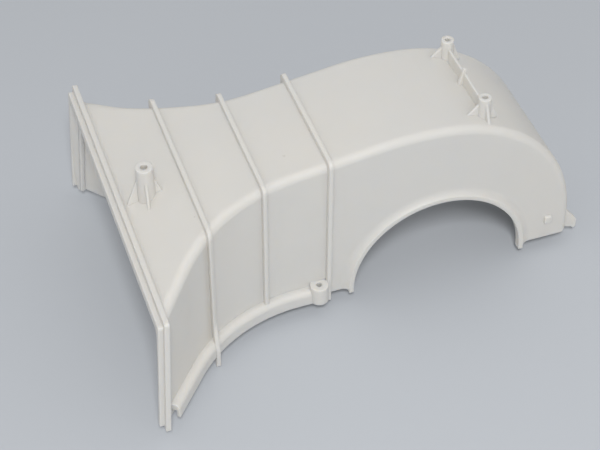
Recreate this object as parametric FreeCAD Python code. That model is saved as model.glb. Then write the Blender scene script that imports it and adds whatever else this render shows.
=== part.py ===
import FreeCAD, Part
import math
import os

# One half of a blower housing, moulded in one piece. Sizes are in millimetres and degrees.
# X runs from the mouth to the scroll end, Y across the housing, Z up from the parting plane.
# The Y axis is the fan axis. The open side faces down.

V = FreeCAD.Vector

# The shell.
wall = 2.0
corner_radius = 3.5

# Plan outline: straight scroll sides, then a horn that opens towards the mouth.
mouth_x = -148.6
end_x = 67.5
scroll_half_width = 31.3
flare_start_x = -68.6
flare_radius = 75.0
flare_angle = 50.0

# Roof line: up the end wall, over the scroll and down to the mouth.
end_wall_height = 12.5
scroll_back_radius = 70.4
scroll_back_turn = 82.4
scroll_top_radius = 139.9
scroll_top_turn = 15.2
duct_roof_length = 66.6
duct_bend_radius = 111.0
duct_bend_turn = 15.2

# The double lip round the mouth. Its face leans back.
mouth_lean = 4.0
mouth_draft = 1.8
lip_half_width = 80.0
lip_rise = 1.938
lip_thickness = 2.4
lip_corner = 1.2
back_lip_proud = 1.5
back_lip_rise = 2.7
back_lip_thickness = 2.3
back_lip_drop = 2.5
back_lip_blend = 1.3

# Ribs that run over the duct from side to side.
rib_thickness = 1.9
rib_proud = 2.5
rib_corner_radius = 3.0
rib_lean = 1.1
front_rib_x = -111.8
middle_rib_x = -83.3
rear_rib_x = -52.6
front_fin_top = 22.0
front_fin_reach = 7.4
front_fin_drop = 7.2
front_fin_tip = 2.6
rear_rib_foot_drop = 2.5

# The flange along the foot of the duct, with its channel from below.
flange_reach = 4.2
flange_height = 7.5
flange_shoulder = 2.6
flange_leg = 1.6
channel_depth = 4.0
flange_front_x = -142.0

# Screw bosses on the flange's rear ends.
side_boss_x = -59.0
side_boss_offset = 2.7
side_boss_diameter = 8.5
side_boss_hole = 2.7
side_boss_top = 10.0
side_boss_bottom = 0.5
side_web_length = 5.6

# Inlet rims on the fan axis.
inlet_radius = 41.7
inlet_proud = 2.0
inlet_rim = 2.2
inlet_blend = 4.5
inlet_end_drop = 2.0

# The two bosses across the scroll roof, with the plate that joins them.
roof_boss_x = 23.6
roof_boss_y = 21.7
roof_boss_top = 88.6
roof_boss_diameter = 6.0
roof_boss_hole = 2.6
roof_boss_hole_depth = 8.0
roof_plate_thickness = 1.2
roof_plate_top = 84.6
roof_tab_top = 87.0
roof_tab_width = 1.8
roof_tab_reach = 3.8
roof_tab_y = 1.5
roof_front_web_drop = 3.5
roof_front_web_spread = 1.1
roof_rear_web_drop = 2.5
roof_rear_web_spread = 0.32
roof_side_web_spread = 0.4

# The single boss on the roof near the mouth.
mouth_boss_x = -129.0
mouth_boss_y = -7.0
mouth_boss_top = 81.5
mouth_boss_diameter = 7.8
mouth_boss_hole = 3.3
mouth_boss_hole_depth = 12.0
mouth_web_turn = -8.0
mouth_web_drop = 7.0
mouth_web_spread = 0.37

# Thin webs that stiffen the bosses. A web's spread is its reach for each millimetre down.
gusset_thickness = 1.2

# Small locating nub low on the scroll side.
nub_x = 56.4
nub_width = 3.2
nub_proud = 1.3
nub_bottom = 9.0
nub_top = 14.0

# Hook on the end wall.
hook_inset = 4.3
hook_width = 2.6
hook_reach = 6.4
hook_top = 11.0
hook_knee = 3.0
hook_tip_drop = 2.6
hook_tip_width = 2.6

# Room that the construction shapes reach past the part.
beyond = 30.0

# The distance that counts as touching.
tiny = 0.001


# A smooth path of straight and round moves, pushed sideways to its right by grow.
# A move is (length, None), or (radius, turn) with the turn to the left counted plus.
def trace(start, heading, moves, grow, place):
    edges = []
    u, v = start
    for size, turn in moves:
        across = (math.sin(math.radians(heading)), -math.cos(math.radians(heading)))
        if turn is None:
            first = place(u + across[0] * grow, v + across[1] * grow)
            u -= across[1] * size
            v += across[0] * size
            last = place(u + across[0] * grow, v + across[1] * grow)
            edges.append(Part.makeLine(first, last))
            continue
        side = math.copysign(1.0, turn)
        centre = (u - across[0] * size * side, v - across[1] * size * side)
        points = []
        for share in (0.0, 0.5, 1.0):
            angle = math.radians(heading + turn * share)
            reach = size * side + grow
            points.append(place(centre[0] + math.sin(angle) * reach,
                                centre[1] - math.cos(angle) * reach))
        edges.append(Part.Arc(*points).toShape())
        heading += turn
        angle = math.radians(heading)
        u = centre[0] + math.sin(angle) * size * side
        v = centre[1] - math.cos(angle) * size * side
    return edges


def ends(edges):
    return edges[0].valueAt(edges[0].FirstParameter), edges[-1].valueAt(edges[-1].LastParameter)


def mirrored(shape):
    return shape.mirror(V(0, 0, 0), V(0, 1, 0))


def polygon(points):
    return Part.Face(Part.makePolygon(list(points) + [points[0]]))


def plain_box(x_range, y_range, z_range):
    size = [pair[1] - pair[0] for pair in (x_range, y_range, z_range)]
    return Part.makeBox(*size, V(x_range[0], y_range[0], z_range[0]))


def everywhere_box(x_range=None, y_range=None, z_range=None):
    wide = lip_half_width + 3 * beyond
    high = roof_boss_top + 2 * beyond
    return plain_box(x_range or (mouth_x - 2 * beyond, end_x + 2 * beyond),
                     y_range or (-wide, wide),
                     z_range or (-beyond, high))


# The far side wall in plan, from the scroll's end to in front of the mouth.
def side_path(grow):
    start = (end_x + grow, scroll_half_width)
    flare = flare_radius * math.sin(math.radians(flare_angle))
    run = (flare_start_x - mouth_x - flare + beyond) / math.cos(math.radians(flare_angle))
    moves = [(end_x + grow - flare_start_x, None), (flare_radius, -flare_angle), (run, None)]
    return trace(start, 180, moves, grow, lambda u, v: V(u, v, 0))


def plan_face(grow):
    side = side_path(grow)
    other = [mirrored(edge) for edge in side]
    first, last = ends(side)
    closing = [Part.makeLine(point, V(point.x, -point.y, 0)) for point in (first, last)]
    return Part.Face(Part.Wire(Part.__sortEdges__(side + other + closing)))


def plan_prism(grow, bottom, top):
    face = plan_face(grow)
    face.translate(V(0, 0, bottom))
    return face.extrude(V(0, 0, top - bottom))


# The roof line in the middle plane, from under the end wall to in front of the mouth.
def roof_path(grow):
    moves = [(end_wall_height + beyond / 2, None),
             (scroll_back_radius, scroll_back_turn),
             (scroll_top_radius, scroll_top_turn),
             (duct_roof_length, None),
             (duct_bend_radius, duct_bend_turn),
             (3 * beyond, None)]
    return trace((end_x, -beyond / 2), 90, moves, grow, lambda u, v: V(u, 0, v))


def roof_prism(grow):
    path = roof_path(grow)
    first, last = ends(path)
    low = V(last.x, 0, first.z)
    closing = [Part.makeLine(last, low), Part.makeLine(low, first)]
    face = Part.Face(Part.Wire(Part.__sortEdges__(path + closing)))
    half = plan_face(grow).BoundBox.YMax + beyond
    face.translate(V(0, -half, 0))
    return face.extrude(V(0, 2 * half, 0))


# Edges of a solid whose middle passes a test.
def edges_where(solid, test):
    return [edge for edge in solid.Edges
            if test(edge.valueAt((edge.FirstParameter + edge.LastParameter) / 2))]


# The housing's closed form, larger or smaller by grow, with its corners rounded.
def housing_form(grow, radius):
    form = plan_prism(grow, -beyond / 2, roof_boss_top + beyond).common(roof_prism(grow))
    roof_line = Part.Wire(roof_path(grow))
    side_line = Part.Wire(side_path(grow))
    corners = edges_where(form, lambda p: roof_line.distToShape(Part.Vertex(p.x, 0, p.z))[0]
                          + side_line.distToShape(Part.Vertex(p.x, abs(p.y), 0))[0] < tiny)
    return form.makeFillet(radius, corners)


# Where a straight line meets a path of edges.
def crossing(line, edges):
    return line.distToShape(Part.Wire(edges))[1][0][0]


def roof_height(x):
    up = Part.makeLine(V(x, 0, end_wall_height), V(x, 0, roof_boss_top + beyond))
    return crossing(up, roof_path(0.0)).z


def side_wall_y(x):
    across = Part.makeLine(V(x, 0, 0), V(x, lip_half_width + beyond, 0))
    return crossing(across, side_path(0.0)).y


# The front lip's height along the leaning mouth face. It stands over the roof by its rise.
def lip_height():
    foot = V(mouth_x, 0, 0)
    lean = math.radians(mouth_lean)
    up = V(math.sin(lean), 0, math.cos(lean)) * (roof_boss_top + beyond)
    roof = crossing(Part.makeLine(foot, foot + up), roof_path(0.0))
    return roof.distanceToPoint(foot) + lip_rise


# A slab square to the leaning mouth face, between two depths behind the face.
# Its sides draw in towards the top by the mouth's draft.
def mouth_slab(front, back, half_width, height, corner=0.0):
    low = -beyond / 2
    ends_z = (low, height)
    draft = mouth_draft / lip_height()
    halves = [half_width + mouth_draft - draft * z for z in ends_z]
    face = polygon([V(mouth_x + front, -halves[0], low), V(mouth_x + front, halves[0], low),
                    V(mouth_x + front, halves[1], height),
                    V(mouth_x + front, -halves[1], height)])
    slab = face.extrude(V(back - front, 0, 0))
    if corner > 0:
        middle = mouth_x + (front + back) / 2
        tops = edges_where(slab, lambda p: abs(p.x - middle) < tiny and p.z > height - tiny)
        slab = slab.makeFillet(corner, tops)
    slab.rotate(V(mouth_x, 0, 0), V(0, 1, 0), mouth_lean)
    return slab


# How far a point lies behind the leaning mouth face.
def depth_behind_mouth(point):
    lean = math.radians(mouth_lean)
    return (point.x - mouth_x) * math.cos(lean) - point.z * math.sin(lean)


def mouth_limit(half_width):
    return mouth_slab(-2 * beyond, end_x - mouth_x + 2 * beyond, half_width,
                      roof_boss_top + beyond)


def cavity():
    inner = housing_form(-wall, corner_radius - wall)
    return inner.common(mouth_limit(lip_half_width - wall))


# The shell with its two lips. The rear lip blends softly into the roof and the walls.
def lipped_body():
    rear = lip_thickness + back_lip_thickness
    height = lip_height()
    collar = mouth_slab(0.0, rear, lip_half_width + beyond, height + beyond)
    body = housing_form(0.0, corner_radius).fuse(collar)
    foot = edges_where(body, lambda p: abs(depth_behind_mouth(p) - rear) + abs(p.y) < tiny
                       and 0 < p.z < height + back_lip_rise)
    body = body.makeFillet(back_lip_blend, foot)
    front_lip = mouth_slab(0.0, lip_thickness, lip_half_width, height, lip_corner)
    behind = mouth_slab(rear, end_x - mouth_x + 2 * beyond, lip_half_width,
                        roof_boss_top + beyond)
    outline = front_lip.fuse(behind).common(everywhere_box(z_range=(0, roof_boss_top)))
    back_lip = mouth_slab(lip_thickness, rear, lip_half_width + back_lip_proud,
                          height + back_lip_rise, lip_corner)
    back_lip = back_lip.common(everywhere_box(z_range=(-back_lip_drop, roof_boss_top)))
    return body.common(outline.fuse(back_lip)).removeSplitter()


# The flange follows the wall. Its front end is cut square to the wall.
def base_flange():
    block = plan_prism(flange_reach, 0.0, flange_height)
    rims = edges_where(block, lambda p: p.z > flange_height - tiny)
    block = block.makeFillet(flange_shoulder, rims)
    groove = plan_prism(flange_reach - flange_leg, -beyond, channel_depth)
    flange = block.cut(groove)
    flange = flange.common(everywhere_box(x_range=(flange_front_x - beyond, side_boss_x)))
    square = plain_box((-2 * beyond, 0), (-beyond, beyond), (-beyond, beyond))
    square.rotate(V(0, 0, 0), V(0, 0, 1), -flare_angle)
    square.translate(V(flange_front_x, side_wall_y(flange_front_x), 0))
    return flange.cut([square, mirrored(square)])


# The ribs lean a little with the mouth, about their place on the roof.
def leaning(shape, x):
    shape.rotate(V(x, 0, roof_height(x)), V(0, 1, 0), rib_lean)
    return shape


def rib_slab(x, bottom):
    half = rib_thickness / 2
    slab = leaning(everywhere_box(x_range=(x - half, x + half)), x)
    return slab.common(everywhere_box(z_range=(bottom, roof_boss_top + beyond)))


# The front rib's lower end: a fin that swings out over the flange and ends below it.
def front_rib_fin():
    wall_y = side_wall_y(front_rib_x)
    reach = wall_y + front_fin_reach
    inside = wall_y - wall / 2
    profile = [(inside, front_fin_top), (wall_y + rib_proud, front_fin_top),
               (reach, flange_height / 2), (reach, front_fin_tip / 2 - front_fin_drop),
               (reach - front_fin_tip / 2, -front_fin_drop),
               (reach - front_fin_tip, -front_fin_drop), (wall_y + flange_leg, 0),
               (inside, 0)]
    x = front_rib_x - rib_thickness / 2
    face = polygon([V(x, -y, z) for y, z in profile])
    return leaning(face.extrude(V(rib_thickness, 0, 0)), front_rib_x)


def ribs():
    form = housing_form(rib_proud, rib_corner_radius)
    front = form.common(rib_slab(front_rib_x, 0.0))
    middle = form.common(rib_slab(middle_rib_x, flange_height / 2))
    rear = form.common(rib_slab(rear_rib_x, -rear_rib_foot_drop))
    fin = front_rib_fin()
    return [front, middle, rear, fin, mirrored(fin)]


# A round boss, with its foot sunk into the wall below it.
def boss(x, y, foot_z, top_z, diameter):
    return Part.makeCylinder(diameter / 2, top_z - foot_z, V(x, y, foot_z))


# A three-cornered web beside a boss: it starts at start_z and spreads as it goes down.
def gusset(x, y, angle, start_radius, start_z, foot_z, spread):
    drop = start_z - foot_z
    half = gusset_thickness / 2
    face = polygon([V(0, -half, start_z), V(start_radius, -half, start_z),
                    V(start_radius + spread * drop, -half, foot_z), V(0, -half, foot_z)])
    web = face.extrude(V(0, gusset_thickness, 0))
    web.rotate(V(0, 0, 0), V(0, 0, 1), angle)
    web.translate(V(x, y, 0))
    return web


def side_bosses():
    side_boss_y = scroll_half_width + side_boss_offset
    post = boss(side_boss_x, -side_boss_y, side_boss_bottom, side_boss_top,
                side_boss_diameter)
    half = side_web_length / 2
    inside = scroll_half_width - wall / 2
    web = plain_box((side_boss_x - half, side_boss_x + half), (-side_boss_y, -inside),
                    (side_boss_bottom, side_boss_top))
    near = post.fuse(web)
    return [near, mirrored(near)]


def roof_bosses():
    roof = roof_height(roof_boss_x)
    foot = roof - wall
    shapes = []
    for side in (-1, 1):
        y = side * roof_boss_y
        shapes.append(boss(roof_boss_x, y, foot, roof_boss_top, roof_boss_diameter))
        for angle, drop, spread in (
                (180, roof_front_web_drop, roof_front_web_spread),
                (0, roof_rear_web_drop, roof_rear_web_spread),
                (90 * side, roof_rear_web_drop, roof_side_web_spread)):
            shapes.append(gusset(roof_boss_x, y, angle, roof_boss_diameter / 2,
                                 roof_boss_top - drop, foot, spread))
    half = roof_plate_thickness / 2
    shapes.append(plain_box((roof_boss_x - half, roof_boss_x + half),
                            (-roof_boss_y, roof_boss_y), (foot, roof_plate_top)))
    low, high = roof_tab_y - roof_tab_width / 2, roof_tab_y + roof_tab_width / 2
    face = polygon([V(roof_boss_x + half, low, roof_tab_top), V(roof_boss_x + half, low, foot),
                    V(roof_boss_x - roof_tab_reach, low, foot),
                    V(roof_boss_x - half, low, roof_tab_top)])
    shapes.append(face.extrude(V(0, high - low, 0)))
    return shapes


def mouth_boss():
    foot = roof_height(mouth_boss_x) - 1.5 * wall
    shapes = [boss(mouth_boss_x, mouth_boss_y, foot, mouth_boss_top, mouth_boss_diameter)]
    for angle in (0, 90, 180, 270):
        shapes.append(gusset(mouth_boss_x, mouth_boss_y, angle + mouth_web_turn,
                             mouth_boss_diameter / 2, mouth_boss_top - mouth_web_drop,
                             foot - wall, mouth_web_spread))
    return shapes


# The inlet's rim stands proud of the side wall and flares into it.
def inlet_rims():
    face_y = -scroll_half_width - inlet_proud
    rim_radius = inlet_radius + inlet_rim
    reach = math.sqrt(inlet_blend ** 2 - (inlet_blend - inlet_proud) ** 2)
    foot_radius = rim_radius + reach
    centre = (foot_radius, -scroll_half_width - inlet_blend)
    start = math.atan2(face_y - centre[1], rim_radius - centre[0])
    middle = (start + math.pi / 2) / 2
    inside = -scroll_half_width + wall
    corners = [V(rim_radius, face_y, 0), V(inlet_radius, face_y, 0),
               V(inlet_radius, inside, 0), V(foot_radius, inside, 0),
               V(foot_radius, -scroll_half_width, 0)]
    edges = [Part.makeLine(a, b) for a, b in zip(corners, corners[1:])]
    halfway = V(centre[0] + inlet_blend * math.cos(middle),
                centre[1] + inlet_blend * math.sin(middle), 0)
    edges.append(Part.Arc(corners[-1], halfway, corners[0]).toShape())
    face = Part.Face(Part.Wire(edges))
    shapes = [face.revolve(V(0, 0, 0), V(0, -1, 0), 180)]
    for low in (inlet_radius, -rim_radius):
        shapes.append(plain_box((low, low + inlet_rim), (face_y, inside),
                                (-inlet_end_drop, wall)))
    return shapes + [mirrored(shape) for shape in shapes]


def nubs():
    root = -scroll_half_width + wall / 2
    front = -scroll_half_width - nub_proud
    face = polygon([V(nub_x - nub_width / 2, root, nub_bottom),
                    V(nub_x - nub_width / 2, front, nub_bottom + nub_proud / 2),
                    V(nub_x - nub_width / 2, front, nub_top - nub_proud / 2),
                    V(nub_x - nub_width / 2, root, nub_top)])
    near = face.extrude(V(nub_width, 0, 0))
    return [near, mirrored(near)]


def end_hooks():
    low = -scroll_half_width + hook_inset - hook_width / 2
    root = end_x - wall / 2
    tip = end_x + hook_reach
    half = hook_tip_width / 2
    profile = [(root, hook_top), (end_x, hook_top), (tip, hook_knee),
               (tip, half - hook_tip_drop), (tip - half, -hook_tip_drop),
               (tip - 2 * half, half - hook_tip_drop), (end_x, 0), (root, 0)]
    face = polygon([V(x, low, z) for x, z in profile])
    near = face.extrude(V(0, hook_width, 0))
    return [near, mirrored(near)]


def hole(x, y, top, depth, diameter):
    return Part.makeCylinder(diameter / 2, depth + wall, V(x, y, top - depth))


def openings():
    wide = scroll_half_width + beyond
    shapes = [cavity(),
              Part.makeCylinder(inlet_radius, 2 * wide, V(0, -wide, 0), V(0, 1, 0)),
              hole(mouth_boss_x, mouth_boss_y, mouth_boss_top, mouth_boss_hole_depth,
                   mouth_boss_hole)]
    for side in (-1, 1):
        shapes.append(hole(roof_boss_x, side * roof_boss_y, roof_boss_top,
                           roof_boss_hole_depth, roof_boss_hole))
        shapes.append(hole(side_boss_x, side * (scroll_half_width + side_boss_offset),
                           side_boss_top, side_boss_top - side_boss_bottom + wall,
                           side_boss_hole))
    return shapes


def housing():
    solid = lipped_body()
    for shapes in ([base_flange()], ribs(), side_bosses(), roof_bosses(), mouth_boss(),
                   inlet_rims(), nubs(), end_hooks()):
        solid = solid.multiFuse(shapes)
    solid = solid.cut(openings())
    solid = solid.removeSplitter()
    return solid.Solids[0] if len(solid.Solids) == 1 else solid


os.makedirs("parts", exist_ok=True)
result = housing()
result.exportStep("parts/blower_housing_half.step")
box = result.BoundBox
print("solids", len(result.Solids), "faces", len(result.Faces), "valid", result.isValid())
print("x", round(box.XMin, 2), round(box.XMax, 2), "y", round(box.YMin, 2), round(box.YMax, 2),
      "z", round(box.ZMin, 2), round(box.ZMax, 2), "volume", round(result.Volume))
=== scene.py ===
import bmesh
import bpy
import math
from mathutils import Matrix, Vector


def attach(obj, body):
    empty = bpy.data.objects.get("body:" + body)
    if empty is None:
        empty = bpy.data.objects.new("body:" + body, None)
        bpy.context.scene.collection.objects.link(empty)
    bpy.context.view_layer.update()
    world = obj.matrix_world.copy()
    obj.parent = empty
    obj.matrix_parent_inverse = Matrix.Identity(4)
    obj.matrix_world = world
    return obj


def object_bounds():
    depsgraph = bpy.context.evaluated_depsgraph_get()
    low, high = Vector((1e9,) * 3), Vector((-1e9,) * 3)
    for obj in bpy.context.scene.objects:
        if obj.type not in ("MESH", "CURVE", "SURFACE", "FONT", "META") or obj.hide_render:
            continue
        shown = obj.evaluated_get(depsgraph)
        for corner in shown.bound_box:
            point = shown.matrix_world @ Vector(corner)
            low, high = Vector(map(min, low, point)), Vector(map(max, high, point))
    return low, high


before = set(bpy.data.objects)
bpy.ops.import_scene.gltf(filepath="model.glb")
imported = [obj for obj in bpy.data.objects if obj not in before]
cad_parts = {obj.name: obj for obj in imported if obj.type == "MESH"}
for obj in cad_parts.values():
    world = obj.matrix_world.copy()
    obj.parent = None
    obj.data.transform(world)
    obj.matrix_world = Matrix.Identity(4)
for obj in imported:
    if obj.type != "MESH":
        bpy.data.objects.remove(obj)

cadLow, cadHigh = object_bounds()


# Small helpers for shader trees.
def addNode(tree, kind, place, **settings):
    node = tree.nodes.new(kind)
    node.location = place
    for name, value in settings.items():
        setattr(node, name, value)
    return node


def setInputs(node, values):
    for name, value in values.items():
        node.inputs[name].default_value = value
    return node


def joinUp(tree, *pairs):
    for source, target in pairs:
        tree.links.new(source, target)


def noiseNode(tree, place, pattern):
    return setInputs(addNode(tree, "ShaderNodeTexNoise", place),
                     {"Scale": pattern["scale"], "Detail": pattern["detail"]})


def rangeNode(tree, place, before, after):
    return setInputs(addNode(tree, "ShaderNodeMapRange", place),
                     {"From Min": before[0], "From Max": before[1],
                      "To Min": after[0], "To Max": after[1]})


def newGroup(name, inputs, outputs):
    tree = bpy.data.node_groups.new(name, "ShaderNodeTree")
    for label, kind in inputs:
        tree.interface.new_socket(name=label, in_out="INPUT", socket_type=kind)
    for label, kind in outputs:
        tree.interface.new_socket(name=label, in_out="OUTPUT", socket_type=kind)
    start = addNode(tree, "NodeGroupInput", (-1100, 0))
    end = addNode(tree, "NodeGroupOutput", (500, 0))
    return tree, start, end


def useGroup(tree, group, place, values):
    return setInputs(addNode(tree, "ShaderNodeGroup", place, node_tree=group), values)


grainPattern = {
    "fine": {"scale": 2400.0, "detail": 2.0, "depth": 0.0003},
    "slow": {"scale": 42.0, "detail": 1.0, "depth": 0.002},
}


# Fine moulded grain over a slow ripple, such as thin moulded walls have.
def makeGrain():
    tree, start, end = newGroup(
        "mouldedGrain",
        [("Coordinates", "NodeSocketVector"), ("Soft Normal", "NodeSocketVector"),
         ("Grain Strength", "NodeSocketFloat"), ("Ripple Strength", "NodeSocketFloat")],
        [("Normal", "NodeSocketVector")])
    fine = noiseNode(tree, (-700, 150), grainPattern["fine"])
    slow = noiseNode(tree, (-700, -150), grainPattern["slow"])
    grainBump = setInputs(addNode(tree, "ShaderNodeBump", (-300, 150)),
                          {"Distance": grainPattern["fine"]["depth"]})
    rippleBump = setInputs(addNode(tree, "ShaderNodeBump", (50, 0)),
                           {"Distance": grainPattern["slow"]["depth"]})
    joinUp(tree,
           (start.outputs["Coordinates"], fine.inputs["Vector"]),
           (start.outputs["Coordinates"], slow.inputs["Vector"]),
           (start.outputs["Soft Normal"], grainBump.inputs["Normal"]),
           (start.outputs["Grain Strength"], grainBump.inputs["Strength"]),
           (start.outputs["Ripple Strength"], rippleBump.inputs["Strength"]),
           (fine.outputs["Fac"], grainBump.inputs["Height"]),
           (slow.outputs["Fac"], rippleBump.inputs["Height"]),
           (grainBump.outputs["Normal"], rippleBump.inputs["Normal"]),
           (rippleBump.outputs["Normal"], end.inputs["Normal"]))
    return tree


tonePattern = {
    "patch": {"scale": 16.0, "detail": 3.0, "range": (0.35, 0.68)},
    "speck": {"scale": 95.0, "range": (0.02, 0.05), "rarity": (0.93, 0.935)},
}


# Slow warm patches in the plastic, with a few dark specks of regrind.
def makeTone():
    tree, start, end = newGroup(
        "plasticTone",
        [("Coordinates", "NodeSocketVector"), ("Base", "NodeSocketColor"),
         ("Warm", "NodeSocketColor"), ("Speck", "NodeSocketColor"),
         ("Patch Amount", "NodeSocketFloat"), ("Speck Amount", "NodeSocketFloat")],
        [("Color", "NodeSocketColor")])
    patch = tonePattern["patch"]
    speck = tonePattern["speck"]
    patches = noiseNode(tree, (-800, 200), patch)
    spread = rangeNode(tree, (-600, 200), patch["range"], (0.0, 1.0))
    amount = addNode(tree, "ShaderNodeMath", (-400, 200), operation="MULTIPLY")
    warmed = addNode(tree, "ShaderNodeMix", (-200, 200), data_type="RGBA")
    cells = setInputs(addNode(tree, "ShaderNodeTexVoronoi", (-800, -200)),
                      {"Scale": speck["scale"]})
    dots = rangeNode(tree, (-600, -200), speck["range"], (1.0, 0.0))
    chance = addNode(tree, "ShaderNodeTexWhiteNoise", (-600, -450))
    chosen = rangeNode(tree, (-400, -450), speck["rarity"], (0.0, 1.0))
    both = addNode(tree, "ShaderNodeMath", (-200, -250), operation="MULTIPLY")
    strength = addNode(tree, "ShaderNodeMath", (0, -250), operation="MULTIPLY")
    specked = addNode(tree, "ShaderNodeMix", (200, 0), data_type="RGBA")
    joinUp(tree,
           (start.outputs["Coordinates"], patches.inputs["Vector"]),
           (patches.outputs["Fac"], spread.inputs["Value"]),
           (spread.outputs["Result"], amount.inputs[0]),
           (start.outputs["Patch Amount"], amount.inputs[1]),
           (amount.outputs["Value"], warmed.inputs["Factor"]),
           (start.outputs["Base"], warmed.inputs["A"]),
           (start.outputs["Warm"], warmed.inputs["B"]),
           (start.outputs["Coordinates"], cells.inputs["Vector"]),
           (cells.outputs["Distance"], dots.inputs["Value"]),
           (cells.outputs["Color"], chance.inputs["Vector"]),
           (chance.outputs["Value"], chosen.inputs["Value"]),
           (dots.outputs["Result"], both.inputs[0]),
           (chosen.outputs["Result"], both.inputs[1]),
           (both.outputs["Value"], strength.inputs[0]),
           (start.outputs["Speck Amount"], strength.inputs[1]),
           (strength.outputs["Value"], specked.inputs["Factor"]),
           (warmed.outputs["Result"], specked.inputs["A"]),
           (start.outputs["Speck"], specked.inputs["B"]),
           (specked.outputs["Result"], end.inputs["Color"]))
    return tree


markPattern = {
    "ragged": {"scale": 900.0, "detail": 2.0},
    "wobble": 0.0016,
    "fade": (0.7, 1.4),  # as shares of the mark's radius
}


# A soft round mark at one place, such as a gate or a rub leaves.
def makeMark():
    tree, start, end = newGroup(
        "surfaceMark",
        [("Coordinates", "NodeSocketVector"), ("Centre", "NodeSocketVector"),
         ("Radius", "NodeSocketFloat"), ("Amount", "NodeSocketFloat")],
        [("Mask", "NodeSocketFloat")])
    gap = addNode(tree, "ShaderNodeVectorMath", (-700, 0), operation="DISTANCE")
    ragged = noiseNode(tree, (-900, -250), markPattern["ragged"])
    wobble = addNode(tree, "ShaderNodeMath", (-700, -250), operation="MULTIPLY")
    wobble.inputs[1].default_value = markPattern["wobble"]
    away = addNode(tree, "ShaderNodeMath", (-500, 0), operation="ADD")
    share = addNode(tree, "ShaderNodeMath", (-300, 0), operation="DIVIDE")
    fade = rangeNode(tree, (-100, 0), markPattern["fade"], (1.0, 0.0))
    mask = addNode(tree, "ShaderNodeMath", (150, 0), operation="MULTIPLY")
    joinUp(tree,
           (start.outputs["Coordinates"], gap.inputs[0]),
           (start.outputs["Centre"], gap.inputs[1]),
           (start.outputs["Coordinates"], ragged.inputs["Vector"]),
           (ragged.outputs["Fac"], wobble.inputs[0]),
           (gap.outputs["Value"], away.inputs[0]),
           (wobble.outputs["Value"], away.inputs[1]),
           (away.outputs["Value"], share.inputs[0]),
           (start.outputs["Radius"], share.inputs[1]),
           (share.outputs["Value"], fade.inputs["Value"]),
           (fade.outputs["Result"], mask.inputs[0]),
           (start.outputs["Amount"], mask.inputs[1]),
           (mask.outputs["Value"], end.inputs["Mask"]))
    return tree


grain = makeGrain()
tone = makeTone()
mark = makeMark()
print("shader groups ready")

housing = {
    "base": (0.665, 0.655, 0.63, 1),
    "warm": (0.70, 0.675, 0.63, 1),
    "patchAmount": 0.55,
    "speck": (0.30, 0.27, 0.23, 1),
    "speckAmount": 0.25,
    "markColor": (0.50, 0.47, 0.42, 1),
    "markAmount": 0.5,
    "marks": [((-0.0685, -0.0163, 0.0772), 0.0013), ((-0.1306, -0.0633, 0.0482), 0.0010)],
    "rub": {"scale": 30.0, "detail": 4.0, "range": (0.3, 0.7)},
    "roughness": (0.48, 0.60),
    "edgeRadius": 0.0007,
    "edgeSamples": 8,
    "grainStrength": 0.05,
    "rippleStrength": 0.05,
    "ior": 1.47,
    "glow": {"weight": 0.7, "radius": (1.0, 0.9, 0.75), "scale": 0.004},
}


# White moulded plastic: satin, a little light passes into it, and moulded edges are soft.
def makePlastic():
    material = bpy.data.materials.new("housingPlastic")
    material.use_nodes = True
    tree = material.node_tree
    shader = tree.nodes["Principled BSDF"]
    coords = addNode(tree, "ShaderNodeTexCoord", (-1200, 0))
    place = coords.outputs["Object"]

    colour = useGroup(tree, tone, (-800, 200),
                      {"Base": housing["base"], "Warm": housing["warm"],
                       "Speck": housing["speck"], "Patch Amount": housing["patchAmount"],
                       "Speck Amount": housing["speckAmount"]})
    joinUp(tree, (place, colour.inputs["Coordinates"]))
    current = colour.outputs["Color"]
    for number, (centre, radius) in enumerate(housing["marks"]):
        row = -150 - 250 * number
        spot = useGroup(tree, mark, (-800, row),
                        {"Centre": centre, "Radius": radius, "Amount": housing["markAmount"]})
        blend = addNode(tree, "ShaderNodeMix", (-500, row), data_type="RGBA")
        blend.inputs["B"].default_value = housing["markColor"]
        joinUp(tree,
               (place, spot.inputs["Coordinates"]),
               (spot.outputs["Mask"], blend.inputs["Factor"]),
               (current, blend.inputs["A"]))
        current = blend.outputs["Result"]
    joinUp(tree, (current, shader.inputs["Base Color"]))

    rubbed = noiseNode(tree, (-800, -800), housing["rub"])
    rough = rangeNode(tree, (-500, -800), housing["rub"]["range"], housing["roughness"])
    joinUp(tree,
           (place, rubbed.inputs["Vector"]),
           (rubbed.outputs["Fac"], rough.inputs["Value"]),
           (rough.outputs["Result"], shader.inputs["Roughness"]))

    edges = setInputs(addNode(tree, "ShaderNodeBevel", (-800, -1250),
                              samples=housing["edgeSamples"]),
                      {"Radius": housing["edgeRadius"]})
    skin = useGroup(tree, grain, (-500, -1100),
                    {"Grain Strength": housing["grainStrength"],
                     "Ripple Strength": housing["rippleStrength"]})
    joinUp(tree,
           (place, skin.inputs["Coordinates"]),
           (edges.outputs["Normal"], skin.inputs["Soft Normal"]),
           (skin.outputs["Normal"], shader.inputs["Normal"]))

    setInputs(shader, {"IOR": housing["ior"],
                       "Subsurface Weight": housing["glow"]["weight"],
                       "Subsurface Radius": housing["glow"]["radius"],
                       "Subsurface Scale": housing["glow"]["scale"]})
    return material


plastic = makePlastic()
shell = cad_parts["blower_housing_half"]
shell.data.materials.clear()
shell.data.materials.append(plastic)
print("housing dressed")

bead = {
    "section": [(-0.1456, 0.0756), (-0.1433, 0.0756), (-0.1433, 0.0772), (-0.1456, 0.0792)],
    "low": -0.0010,
    "high": 0.0565,
    "lean": 4.0,  # degrees
    "flare": 50.0,  # degrees of the wall behind it
    "softEdge": 0.0003,
    "edgeSteps": 2,
    "digits": 7,  # corners are rounded to a tenth of a micron, so that each run gives the same
}


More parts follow.
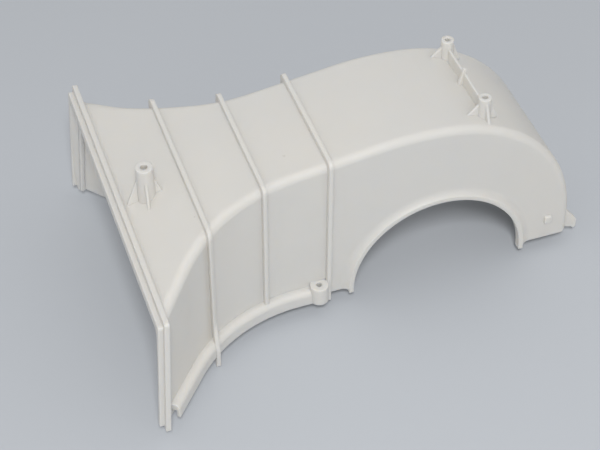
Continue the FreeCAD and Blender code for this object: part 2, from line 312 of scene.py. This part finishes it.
# A raised bead inside the mouth, a little behind the front lip. It leans back with the mouth.
def makeBead(name, side):
    form = bmesh.new()
    ring = [form.verts.new((x, y, bead["low"])) for x, y in bead["section"]]
    grown = bmesh.ops.extrude_face_region(form, geom=[form.faces.new(ring)])
    upper = [item for item in grown["geom"] if isinstance(item, bmesh.types.BMVert)]
    rise = bead["high"] - bead["low"]
    back = rise * math.tan(math.radians(bead["lean"]))
    inward = back * math.tan(math.radians(bead["flare"]))
    bmesh.ops.translate(form, verts=upper, vec=(back, -inward, rise))
    bmesh.ops.bevel(form, geom=form.edges[:], offset=bead["softEdge"], offset_type="OFFSET",
                    segments=bead["edgeSteps"], profile=0.5, affect="EDGES", material=-1)
    for corner in form.verts:
        corner.co = [round(value, bead["digits"]) for value in corner.co]
    bmesh.ops.scale(form, verts=form.verts[:], vec=(1, side, 1))
    bmesh.ops.recalc_face_normals(form, faces=form.faces[:])
    mesh = bpy.data.meshes.new(name)
    form.to_mesh(mesh)
    form.free()
    mesh.materials.append(plastic)
    piece = bpy.data.objects.new(name, mesh)
    bpy.context.scene.collection.objects.link(piece)
    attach(piece, "root")


makeBead("mouthBeadFar", 1)
makeBead("mouthBeadNear", -1)
print("mouth beads ready")

floor = {
    "size": 8.0,
    "color": (0.50, 0.525, 0.56, 1),
    "cloud": {"scale": 3.0, "detail": 2.0, "lift": 1.04},
    "roughness": 0.75,
}


# One pale sheet under the part.
def makeFloor():
    sheet = bmesh.new()
    bmesh.ops.create_grid(sheet, x_segments=1, y_segments=1, size=floor["size"] / 2)
    bmesh.ops.translate(sheet, verts=sheet.verts[:], vec=(0, 0, cadLow.z))
    mesh = bpy.data.meshes.new("studioFloor")
    sheet.to_mesh(mesh)
    sheet.free()
    ground = bpy.data.objects.new("studioFloor", mesh)
    bpy.context.scene.collection.objects.link(ground)

    material = bpy.data.materials.new("floorPaper")
    material.use_nodes = True
    tree = material.node_tree
    shader = tree.nodes["Principled BSDF"]
    coords = addNode(tree, "ShaderNodeTexCoord", (-900, 0))
    cloud = noiseNode(tree, (-700, 0), floor["cloud"])
    blend = addNode(tree, "ShaderNodeMix", (-400, 0), data_type="RGBA")
    red, green, blue, solid = floor["color"]
    lift = floor["cloud"]["lift"]
    blend.inputs["A"].default_value = floor["color"]
    blend.inputs["B"].default_value = (red * lift, green * lift, blue * lift, solid)
    joinUp(tree,
           (coords.outputs["Object"], cloud.inputs["Vector"]),
           (cloud.outputs["Fac"], blend.inputs["Factor"]),
           (blend.outputs["Result"], shader.inputs["Base Color"]))
    shader.inputs["Roughness"].default_value = floor["roughness"]
    mesh.materials.append(material)


makeFloor()

lights = {
    "key": {"from": (-0.185, -0.615, 0.766), "away": 1.5, "size": 0.26, "power": 12.4},
    "sky": {"color": (1.0, 1.0, 1.0, 1), "strength": 0.545},
}


# One soft lamp from the upper front, and an even white sky.
def makeLights():
    key = lights["key"]
    towards = Vector(key["from"]).normalized()
    lamp = bpy.data.lights.new("keyLight", "AREA")
    lamp.shape = "SQUARE"
    lamp.size = key["size"]
    lamp.energy = key["power"]
    holder = bpy.data.objects.new("keyLight", lamp)
    holder.location = (cadLow + cadHigh) / 2 + towards * key["away"]
    holder.rotation_euler = (-towards).to_track_quat("-Z", "Y").to_euler()
    bpy.context.scene.collection.objects.link(holder)

    world = bpy.data.worlds.new("studio")
    world.use_nodes = True
    setInputs(world.node_tree.nodes["Background"],
              {"Color": lights["sky"]["color"], "Strength": lights["sky"]["strength"]})
    bpy.context.scene.world = world


makeLights()
print("floor and lights ready")

camera = {
    "azimuth": -17.961,
    "elevation": 44.437,
    "roll": -1.268,
    "away": 0.79399,
    "target": (-0.0566, 0.0, 0.016),
    "lens": 101.43,
    "sensor": 36.0,
    "near": 0.01,
    "far": 50.0,
}


# The camera stands where the photograph was taken from.
def makeCamera():
    turn = math.radians(camera["azimuth"])
    rise = math.radians(camera["elevation"])
    roll = math.radians(camera["roll"])
    back = Vector((math.sin(turn) * math.cos(rise), -math.cos(turn) * math.cos(rise),
                   math.sin(rise)))
    right = Vector((math.cos(turn), math.sin(turn), 0))
    up = back.cross(right)
    side = right * math.cos(roll) + up * math.sin(roll)
    top = up * math.cos(roll) - right * math.sin(roll)
    place = Vector(camera["target"]) + back * camera["away"]

    data = bpy.data.cameras.new("camera")
    data.sensor_width = camera["sensor"]
    data.lens = camera["lens"]
    data.clip_start = camera["near"]
    data.clip_end = camera["far"]
    holder = bpy.data.objects.new("camera", data)
    holder.matrix_world = Matrix((
        (side.x, top.x, back.x, place.x), (side.y, top.y, back.y, place.y),
        (side.z, top.z, back.z, place.z), (0, 0, 0, 1)))
    bpy.context.scene.collection.objects.link(holder)
    bpy.context.scene.camera = holder


makeCamera()
bpy.context.scene.view_settings.view_transform = "Standard"
print("camera ready")
